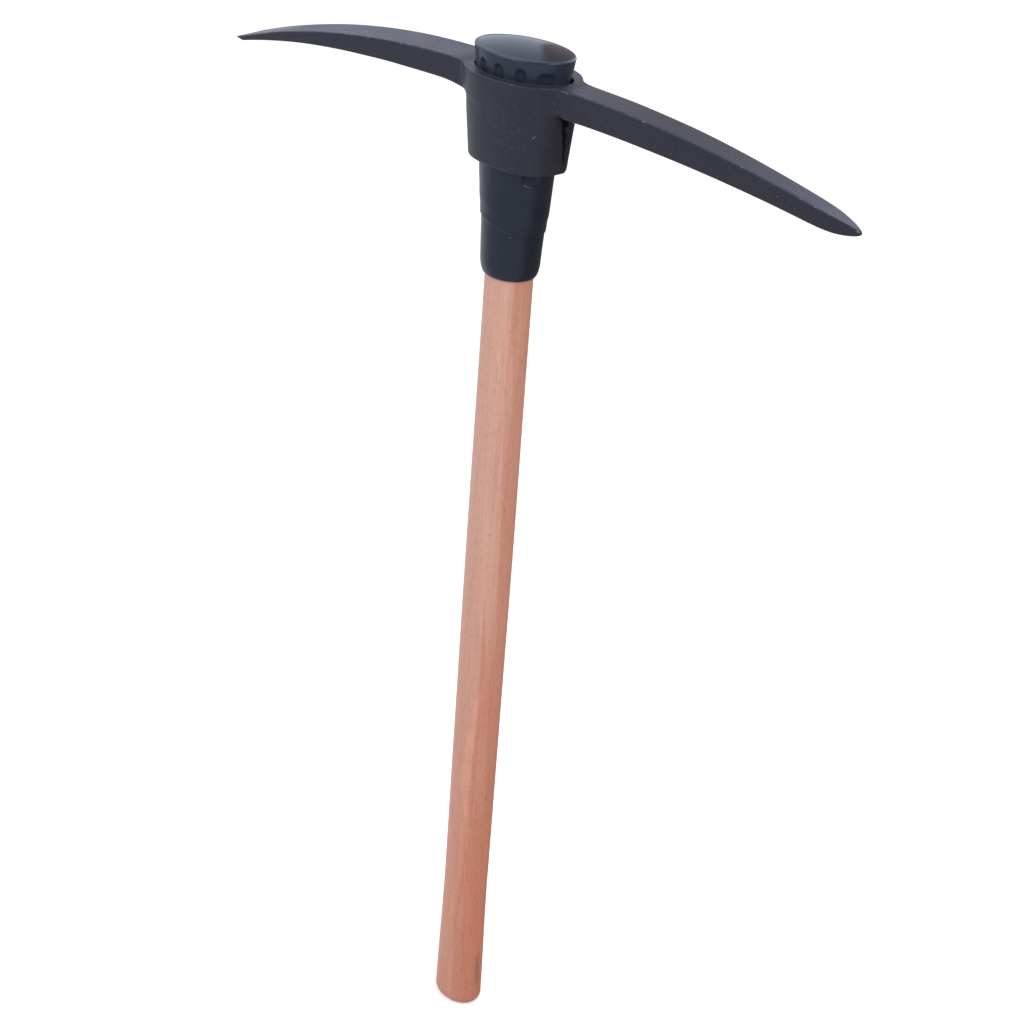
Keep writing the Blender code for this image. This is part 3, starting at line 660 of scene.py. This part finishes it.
def arm_section(side, x, half, bottom, top, lean=0.0):
    """12 cage points of an arm's section; lean moves its top edge outward."""
    edge_y, edge_z = min(EDGE, half / 2), min(EDGE, (top - bottom) / 3)
    across = (-half, -half + edge_y, half - edge_y, half)
    up = (bottom, bottom + edge_z, top - edge_z, top)
    outline = [(y, bottom) for y in across] + [(half, up[1]), (half, up[2])]
    outline += [(y, top) for y in reversed(across)] + [(-half, up[2]), (-half, up[1])]
    return [Vector((side * (x + lean * (z - bottom) / (top - bottom)), side * y, z)) * MM
            for y, z in outline]


def arm_sections(arm, end, count):
    places = [BOSS_TOP[0] + run for run in (3, 12, 28, 52)]
    places += [mix(places[-1], end, step / count) for step in range(1, count + 1)]
    return [arm_section(arm["side"], x, arm_half(arm, x), arm_bottom(arm, x), arm_top(arm, x))
            for x in places]


bm = bmesh.new()
heights = [BOSS_BOTTOM_Z, BOSS_BOTTOM_Z + FOOT_ROUND, BOSS_BOTTOM_Z + 13, mix(BOSS_BOTTOM_Z, ROOT_Z, 0.5),
           ROOT_Z - FILLET_DEPTH, ROOT_Z - UNDERCUT, ROOT_Z, ROOT_Z + EDGE, BOSS_TOP_Z - EDGE, BOSS_TOP_Z]
root_row = 1 + heights.index(ROOT_Z)
rings = [start_ring(bm, boss_outline(BOSS_BOTTOM_Z, FOOT_ROUND), True)]
chisel_root, point_root = [arm_bottom(arm, BOSS_TOP[0]) / 1000 for arm in (CHISEL_ARM, POINT_ARM)]
for z in heights:
    outline = boss_outline(z)
    if z == ROOT_Z:
        for place in outline:
            place.z = mix(chisel_root, point_root, (1 + place.x / (BOSS_TOP[0] * MM)) / 2)
    if z == ROOT_Z - FILLET_DEPTH:
        for place in outline[9:13]:
            place.x -= SOFT_ROOT * MM
    if z == ROOT_Z - UNDERCUT:
        # Tight under the pointed arm, and left to the soft fillet under the chisel arm
        below, above = boss_outline(ROOT_Z - FILLET_DEPTH), boss_outline(ROOT_Z)
        loose = [low.lerp(high, 1 - UNDERCUT / FILLET_DEPTH) for low, high in zip(below, above)]
        outline = [tight if tight.x > 0 else soft for tight, soft in zip(outline, loose)]
    rings.append(extrude_ring(bm, rings[-1], outline))
crease = bm.edges.layers.float.new("crease_edge")
for low, high in zip(rings[3:], rings[4:root_row]):
    bm.edges.get((low[FRONT_EDGE], high[FRONT_EDGE]))[crease] = FRONT_CREASE
top_ring = extrude_ring(bm, rings[-1], boss_outline(BOSS_TOP_Z, EDGE))
top_ring = extrude_ring(bm, top_ring, boss_outline(BOSS_TOP_Z, 3 * EDGE))
cap_ring(bm, top_ring)

# Each arm is drawn out of three columns of faces round one end of the boss, above the root
around = len(rings[0])
shoulder = POINT_ARM["reach"] - POINT_TAPER
point_sections = arm_sections(POINT_ARM, shoulder, 8)
tip_z = arm_bottom(POINT_ARM, POINT_ARM["reach"]) + POINT_HEIGHT
for step in (0.35, 0.7, 1.0):
    fullness = (1 - step) ** 0.75
    x = mix(shoulder, POINT_ARM["reach"], step)
    point_sections.append(arm_section(1, x, mix(POINT_BLUNT, arm_half(POINT_ARM, shoulder), fullness),
                                      mix(tip_z - POINT_BLUNT, arm_bottom(POINT_ARM, x), fullness),
                                      mix(tip_z + POINT_BLUNT, arm_top(POINT_ARM, shoulder), fullness)))
foot = CHISEL_ARM["reach"] - CHISEL_FACET
chisel_sections = arm_sections(CHISEL_ARM, foot - 6 * EDGE, 9)
for inset in (EDGE / 2, 0.0):
    x = foot - inset
    low_z, high_z = arm_bottom(CHISEL_ARM, x), arm_top(CHISEL_ARM, CHISEL_ARM["reach"] - inset)
    chisel_sections.append(arm_section(-1, x, CHISEL_ARM["end_half"], low_z, high_z, CHISEL_FACET))
for column, sections in ((around - 2, point_sections), (around // 2 - 2, chisel_sections)):
    columns = [(column + step) % around for step in range(4)]
    window = []
    for low, high in zip(rings[root_row:], rings[root_row + 1:]):
        window += [bm.faces.get((low[a], low[b], high[b], high[a])) for a, b in zip(columns, columns[1:])]
    bmesh.ops.delete(bm, geom=window, context="FACES")
    bottom, low, high, top = rings[root_row:]
    loop = [bottom[c] for c in columns] + [low[columns[3]], high[columns[3]]]
    loop += [top[c] for c in reversed(columns)] + [high[columns[0]], low[columns[0]]]
    for section in sections:
        loop = extrude_ring(bm, loop, section)
    cap_ring(bm, loop)
head = new_piece(bm, "pick_head_forged")
forged = head.modifiers.new("forged_edges", "SUBSURF")
forged.levels = forged.render_levels = HEAD_SMOOTHING
forged.use_limit_surface = False
settle(head)

# Die-forged unevenness: long shallow waves everywhere, finer ripples on the boss, and lumps on its
# trimmed end walls
bm = bmesh.new()
bm.from_mesh(head.data)
bm.normal_update()
for vert in bm.verts:
    x, y, z = vert.co / MM
    boss = clamp((RIPPLED_TO - abs(x)) / 6)
    wave = WAVES[0] * noise.noise(vert.co * WAVES[1])
    wave += boss * RIPPLES[0] * noise.noise(vert.co * RIPPLES[1])
    end = clamp((abs(x) - LUMPED_FROM) / 4) * clamp((ROOT_Z - 1 - z) / 3) * clamp((z - LUMPED_ABOVE) / 6)
    across = y - end_lean(z) if x > 0 else y
    end *= smooth((end_flat(z) + 1 - abs(across)) / 3) * clamp((50 - abs(x)) / 3)
    wave += end * (LUMPS[0] * noise.noise(vert.co * LUMPS[1] + Vector((3, 1, 7))) - LUMP_SINK)
    flat = z < BOSS_BOTTOM_Z + 0.2
    vert.co += vert.normal * (0.0 if flat else wave) * MM
bm.to_mesh(head.data)
bm.free()

# The cutter for the eye flares past both ends of it, which rounds their edges
bm = bmesh.new()
eye = []
for z, flare in ((BOSS_BOTTOM_Z - 12, 9.0), (BOSS_BOTTOM_Z - 2.6, EYE_ROUND + 0.6),
                 (BOSS_BOTTOM_Z + 0.3 * EYE_ROUND, 0.3 * EYE_ROUND), (BOSS_BOTTOM_Z + EYE_ROUND, 0.0),
                 (BOSS_TOP_Z - EYE_ROUND, 0.0), (BOSS_TOP_Z - 0.3 * EYE_ROUND, 0.3 * EYE_ROUND),
                 (BOSS_TOP_Z + 0.4, EYE_ROUND + 0.4), (BOSS_TOP_Z + 9, 9.0)):
    outline = oval([size + EYE_GAP + flare for size in taper(EYE_FOOT, EYE_TOP, z)], z, EYE_SIDES)
    for step, place in enumerate(outline):
        turn = math.cos(math.tau * step / EYE_SIDES - EYE_NOTCH_TURN)
        place.x += math.copysign(EYE_NOTCH * abs(turn) ** 14, turn) * MM
    eye.append(outline)
ring = start_ring(bm, eye[0], True)
for outline in eye[1:]:
    ring = extrude_ring(bm, ring, outline)
cap_ring(bm, ring)
cut_out(head, new_piece(bm, "eye"))


def edge_distance(x, y, z):
    """How near a point is to a forged edge, in mm, for the places where the paint wears first."""
    arm = POINT_ARM if x > 0 else CHISEL_ARM
    eye_half = [size + EYE_GAP for size in taper(EYE_FOOT, EYE_TOP, z)]
    round_eye = abs(math.hypot(x / eye_half[0], y / eye_half[1]) - 1) * eye_half[1]
    gaps = [math.hypot(round_eye, z - BOSS_TOP_Z)]
    if abs(x) > BOSS_TOP[0]:
        beside = arm_half(arm, abs(x)) - abs(y)
        gaps += [math.hypot(beside, arm_top(arm, abs(x)) - z)]
        gaps += [math.hypot(beside, z - arm_bottom(arm, abs(x)))]
    else:
        across = abs(x / BOSS_TOP[0]) ** BOSS_POWER + abs(y / BOSS_TOP[1]) ** BOSS_POWER
        gaps.append(math.hypot((1 - across ** (1 / BOSS_POWER)) * BOSS_TOP[1], z - BOSS_TOP_Z))
    return min(gaps)


# Where the paint wears first at the edges, and where the hollows in the boss's ends get painted shade
edge_wear = head.data.attributes.new("edge_wear", "FLOAT", "POINT")
end_painted_shade = head.data.attributes.new("hollow", "FLOAT", "POINT")
for vert, wear, dark in zip(head.data.vertices, edge_wear.data, end_painted_shade.data):
    x, y, z = vert.co / MM
    wear.value = max(0.0, 1 - edge_distance(x, y, z) / EDGE_WEAR_REACH)
    half = taper(BOSS_BOTTOM, BOSS_TOP, z)
    flat = end_flat(z)
    if x > 0:
        y -= end_lean(z)
    # Painted shade: the hollow in each end of the boss, under the arm, is marked to be painted near black
    if z < ROOT_Z - 0.5 and abs(x) > LUMPED_FROM and abs(y) < flat + 0.3 and groove_depth(z):
        skin_x = half[0] * (1 - abs(y / half[1]) ** BOSS_POWER) ** (1 / BOSS_POWER)
        ragged = 2 * noise.noise(vert.co * 200)
        dark.value = smooth((skin_x - abs(x) - 0.2) / 0.6) * smooth((0.7 * flat - y + ragged) / 2)

# Satin paint over forged steel: dark blue-grey with a bluish sheen, a fine sandy grain from the scale
# under it, long faint streaks along the arms, and pale specks, chips and scratches where it is rubbed.
# Painted shade darkens the hollows in the boss's ends, a painted highlight lies at the point's tip, and
# the top of the chisel's end is painted paler. The sandy grain is really about 0.3 mm, and is drawn as 1 mm.
paint, tree, shader = new_material("satin_painted_forged_steel", Roughness=0.42, IOR=1.48,
                                   Specular_Tint=(0.56, 0.61, 0.92, 1.0))
place = add(tree, "TexCoord", out="Object")
cloud = add(tree, "TexNoise", {"Vector": place, "Scale": 28.0, "Detail": 4.0, "Roughness": 0.55})
sand = add(tree, "TexNoise", {"Vector": place, "Scale": 900.0, "Detail": 3.0, "Roughness": 0.6})
drawn = add(tree, "Mapping", {"Vector": place, "Scale": (9, 420, 420)})
streaks = add(tree, "TexNoise", {"Vector": drawn, "Scale": 1.0, "Detail": 3.0})
tone = add(tree, "Mix", {0: cloud, 6: linear("#27262B"), 7: linear("#302F34")}, out=2, data_type="RGBA")
shade = add(tree, "MapRange", {"Value": sand, "From Min": 0.3, "From Max": 0.7,
                               "To Min": 0.70, "To Max": 1.30})
tone = add(tree, "VectorMath", {0: tone, "Scale": shade}, operation="SCALE")

# The hollows in the boss's ends under the arms are painted near black as shade, and made rough
hollow = add(tree, "Attribute", attribute_name="hollow", out="Fac")
tone = add(tree, "Mix", {0: hollow, 6: tone, 7: linear("#08080B")}, out=2, data_type="RGBA")

# Marks where the paint is worn to the steel, a painted highlight at the point's tip, and the top of the
# chisel's end, painted paler all over
pale_marks_and_highlight = 0.0
for start, end, width, strength in MARKS_AND_TIP_HIGHLIGHT:
    scratch = mark(tree, place, start, end, width, MARK_DEPTH, 0.5, strength)
    pale_marks_and_highlight = add(tree, "Math", {0: pale_marks_and_highlight, 1: scratch}, operation="MAXIMUM")
paler_chisel_top = mark(tree, place, *PALER_CHISEL_TOP)
pale_marks_and_highlight = add(tree, "Math", {0: pale_marks_and_highlight, 1: paler_chisel_top}, operation="MAXIMUM")

# Specks in a patch on the front of the boss, short dashes that lean to the right
patch = add(tree, "VectorMath", {0: place, 1: Vector(SPECK_CENTRE) * MM}, out="Value", operation="DISTANCE")
patch = add(tree, "MapRange", {"Value": patch, "From Min": SPECK_REACH * MM, "From Max": 0.0,
                               "To Max": 0.70})
dashes = add(tree, "Mapping", {"Vector": place, "Rotation": (0, math.radians(40), 0),
                               "Scale": (640, 640, 980)})
cells = add(tree, "TexVoronoi", {"Vector": dashes, "Scale": 1.0}).node
speck = add(tree, "MapRange", {"Value": cells.outputs["Distance"], "From Min": 0.28, "From Max": 0.12,
                               "To Max": 0.42})
chosen = add(tree, "Math", {0: cells.outputs["Color"], 1: patch}, operation="LESS_THAN")
speck = add(tree, "Math", {0: speck, 1: chosen}, operation="MULTIPLY")

# Chips along the forged edges, where a noise and the nearness of the edge add up
edge = add(tree, "Attribute", attribute_name="edge_wear", out="Fac")
nicks = add(tree, "TexNoise", {"Vector": place, "Scale": 260.0, "Detail": 3.0, "Roughness": 0.7})
nicks = add(tree, "Math", {0: edge, 1: 0.19, 2: nicks}, operation="MULTIPLY_ADD")
nicks = add(tree, "MapRange", {"Value": nicks, "From Min": 0.72, "From Max": 0.80, "To Max": 0.5})

# The chamfer round the top of the eye, rubbed bare: inside an oval just wider than the eye, near the top
eye_rim = add(tree, "Mapping", {"Vector": place, "Scale": (*[1 / size / MM for size in RUBBED_EYE], 0)})
eye_rim = add(tree, "VectorMath", {0: eye_rim}, out="Value", operation="LENGTH")
eye_rim = add(tree, "MapRange", {"Value": eye_rim, "From Min": 1.032, "From Max": 1.016})
near_top = add(tree, "SeparateXYZ", {0: place}, out=2)
near_top = add(tree, "MapRange", {"Value": near_top, "From Min": (BOSS_TOP_Z - 1.3) * MM,
                                  "From Max": (BOSS_TOP_Z - 0.7) * MM, "To Max": 0.6})
eye_rim = add(tree, "Math", {0: eye_rim, 1: near_top}, operation="MULTIPLY")
for bare in (eye_rim, speck, nicks):
    pale_marks_and_highlight = add(tree, "Math", {0: pale_marks_and_highlight, 1: bare}, operation="MAXIMUM")
tone = add(tree, "Mix", {0: pale_marks_and_highlight, 6: tone, 7: linear("#8C8C96")}, out=2, data_type="RGBA")
gloss = add(tree, "MapRange", {"Value": cloud, "To Min": 0.34, "To Max": 0.50})
uneven = add(tree, "MapRange", {"Value": streaks, "To Min": -0.08, "To Max": 0.08})
gloss = add(tree, "Math", {0: gloss, 1: uneven}, operation="ADD")
gloss = add(tree, "Mix", {0: hollow, 2: gloss, 3: 0.95}, out=0)
relief = add(tree, "Bump", {"Height": sand, "Strength": 0.45, "Distance": 0.0003})
relief = add(tree, "Bump", {"Height": streaks, "Normal": relief, "Strength": 0.5, "Distance": 0.0005})
feed(tree, shader, Base_Color=tone, Roughness=gloss, Normal=relief)
finish(head, paint, 50, "head", ["pick_head"])


# Studio: a white floor and white surroundings for the camera, soft lamps, and a camera at the
# photograph's place. The floor is darker to the tool than to the camera, so that its shaded sides
# stay as dark as in the photograph.

AZIMUTH, ELEVATION, ROLL = (math.radians(angle) for angle in (37.577, 29.893, 4.454))
AIM_HEIGHT, AIM_SHIFT, DISTANCE = 0.5287, 0.01608, 1.5  # of the camera, in metres
FOCAL_LENGTH, SENSOR_WIDTH = 65.104, 36.0
level = Matrix.Rotation(AZIMUTH, 4, "Z") @ Matrix.Rotation(math.pi / 2 - ELEVATION, 4, "X")
right, back = level.col[0].to_3d(), level.col[2].to_3d()
camera_data = bpy.data.cameras.new("photo_camera")
camera = bpy.data.objects.new("photo_camera", camera_data)
bpy.context.scene.collection.objects.link(camera)
camera_data.lens, camera_data.sensor_width = FOCAL_LENGTH, SENSOR_WIDTH
camera_data.clip_start, camera_data.clip_end = 0.05, 200.0
stand = Vector((0, 0, AIM_HEIGHT)) + right * AIM_SHIFT + back * DISTANCE
camera.matrix_world = Matrix.Translation(stand) @ level @ Matrix.Rotation(ROLL, 4, "Z")
bpy.context.scene.camera = camera
away = Vector((-back.x, -back.y, 0)).normalized()       # from the camera, along the floor
rightward = Vector((right.x, right.y, 0)).normalized()  # in the picture, along the floor


def rays(tree):
    """1 for the rays that the camera sees, straight or through glass, and 1 for mirrored rays."""
    path = tree.nodes.new("ShaderNodeLightPath").outputs
    seen = add(tree, "Math", {0: path["Is Camera Ray"], 1: path["Is Transmission Ray"]}, operation="MAXIMUM")
    return seen, path["Is Glossy Ray"]


bm = bmesh.new()
bmesh.ops.create_grid(bm, x_segments=2, y_segments=2, size=30.0)
floor = new_piece(bm, "studio_floor")
paper, tree, shader = new_material("matt_white_paper", Roughness=1.0, Specular_IOR_Level=0.0,
                                   Emission_Color=(1, 1, 1, 1))
seen, mirror = rays(tree)

# Mirrored in the tool, the floor is bright on the far left and dim and warmer on the far right
turned = add(tree, "VectorMath", {0: add(tree, "TexCoord", out="Object")}, operation="NORMALIZE")
bright = add(tree, "VectorMath", {0: turned, 1: away * 0.85 - rightward * 0.53}, out="Value",
             operation="DOT_PRODUCT")
bright = add(tree, "MapRange", {"Value": bright, "From Min": 0.6, "From Max": 1.0,
                                "To Min": 0.64, "To Max": 1.0})
dim = add(tree, "VectorMath", {0: turned, 1: away * 0.5 + rightward * 0.85}, out="Value",
          operation="DOT_PRODUCT")
dim = add(tree, "MapRange", {"Value": dim, "From Min": -0.25, "From Max": 0.35, "To Max": 0.47})
mirrored = add(tree, "Math", {0: bright, 1: dim}, operation="SUBTRACT")
cast = add(tree, "Mix", {0: dim, 6: (0.94, 0.99, 1.08, 1), 7: (1.06, 0.93, 0.66, 1)}, out=2,
           data_type="RGBA")
mirrored = add(tree, "VectorMath", {0: cast, "Scale": mirrored}, operation="SCALE")
bounce = add(tree, "Mix", {0: mirror, 6: (0.6, 0.6, 0.6, 1), 7: mirrored}, out=2, data_type="RGBA")
tone = add(tree, "Mix", {0: seen, 6: bounce, 7: (0.9, 0.9, 0.9, 1)}, out=2, data_type="RGBA")
glow = add(tree, "Math", {0: seen, 1: 0.32}, operation="MULTIPLY")
feed(tree, shader, Base_Color=tone, Emission_Strength=glow)
floor.data.materials.append(paper)

LAMP_AIM = Vector((0, 0, 0.7))
LAMPS = (  # name, place from the point aimed at, size, power
    ("soft_key", -rightward * 1.9 - away * 0.9 + Vector((0, 0, 1.5)), 1.6, 18.0),
    ("soft_fill", rightward * 1.15 - away * 1.5 + Vector((0, 0, 1.6)), 1.6, 27.0))
for name, offset, size, power in LAMPS:
    lamp_data = bpy.data.lights.new(name, "AREA")
    lamp_data.shape, lamp_data.size, lamp_data.energy = "SQUARE", size, power
    lamp = bpy.data.objects.new(name, lamp_data)
    bpy.context.scene.collection.objects.link(lamp)
    facing = offset.to_track_quat("Z", "Y").to_matrix().to_4x4()
    lamp.matrix_world = Matrix.Translation(LAMP_AIM + offset) @ facing

# White to the camera and even for soft light. In mirrors it is bright ahead on the left, dark behind the
# camera, brighter upward, and has a bright panel on the right.
world = bpy.data.worlds.new("studio")
bpy.context.scene.world = world
world.use_nodes = True
tree = world.node_tree
seen, mirror = rays(tree)
direction = add(tree, "TexCoord", out="Generated")
backdrop = add(tree, "VectorMath", {0: direction, 1: away * 0.75 - rightward * 0.65}, out="Value",
               operation="DOT_PRODUCT")
backdrop = add(tree, "MapRange", {"Value": backdrop, "From Min": -0.6, "From Max": 0.25,
                                  "To Min": 0.14, "To Max": 1.35})
upward = add(tree, "SeparateXYZ", {0: direction}, out=2)
upward = add(tree, "MapRange", {"Value": upward, "From Max": 0.6, "To Min": 0.56, "To Max": 0.93})
backdrop = add(tree, "Math", {0: backdrop, 1: upward}, operation="MULTIPLY")
toward_right = add(tree, "VectorMath", {0: direction, 1: rightward - away * 0.12}, out="Value",
                   operation="DOT_PRODUCT")
panel = add(tree, "MapRange", {"Value": toward_right, "From Min": 0.17, "From Max": 0.27,
                               "To Min": 1.0, "To Max": 2.1})
backdrop = add(tree, "Math", {0: backdrop, 1: panel}, operation="MULTIPLY")
strength = add(tree, "Mix", {0: mirror, 2: 0.8, 3: backdrop}, out=0)
strength = add(tree, "Mix", {0: seen, 2: strength, 3: 1.0}, out=0)

# A narrow dark flag beside the panel shows in the cap and in the tops of the arms near the boss
flag = add(tree, "MapRange", {"Value": toward_right, "From Min": -0.070, "From Max": -0.045})
far_side = add(tree, "MapRange", {"Value": toward_right, "From Min": 0.17, "From Max": 0.13})
flag = add(tree, "Math", {0: flag, 1: far_side}, operation="MULTIPLY")
flag = add(tree, "Math", {0: flag, 1: mirror}, operation="MULTIPLY")
tone = add(tree, "Mix", {0: mirror, 6: (1, 1, 1, 1), 7: (1.0, 1.09, 1.28, 1)}, out=2, data_type="RGBA")
tone = add(tree, "Mix", {0: flag, 6: tone, 7: (0.38, 0.33, 0.34, 1)}, out=2, data_type="RGBA")
feed(tree, tree.nodes["Background"], Strength=strength, Color=tone)

bpy.context.scene.view_settings.view_transform = "Standard"
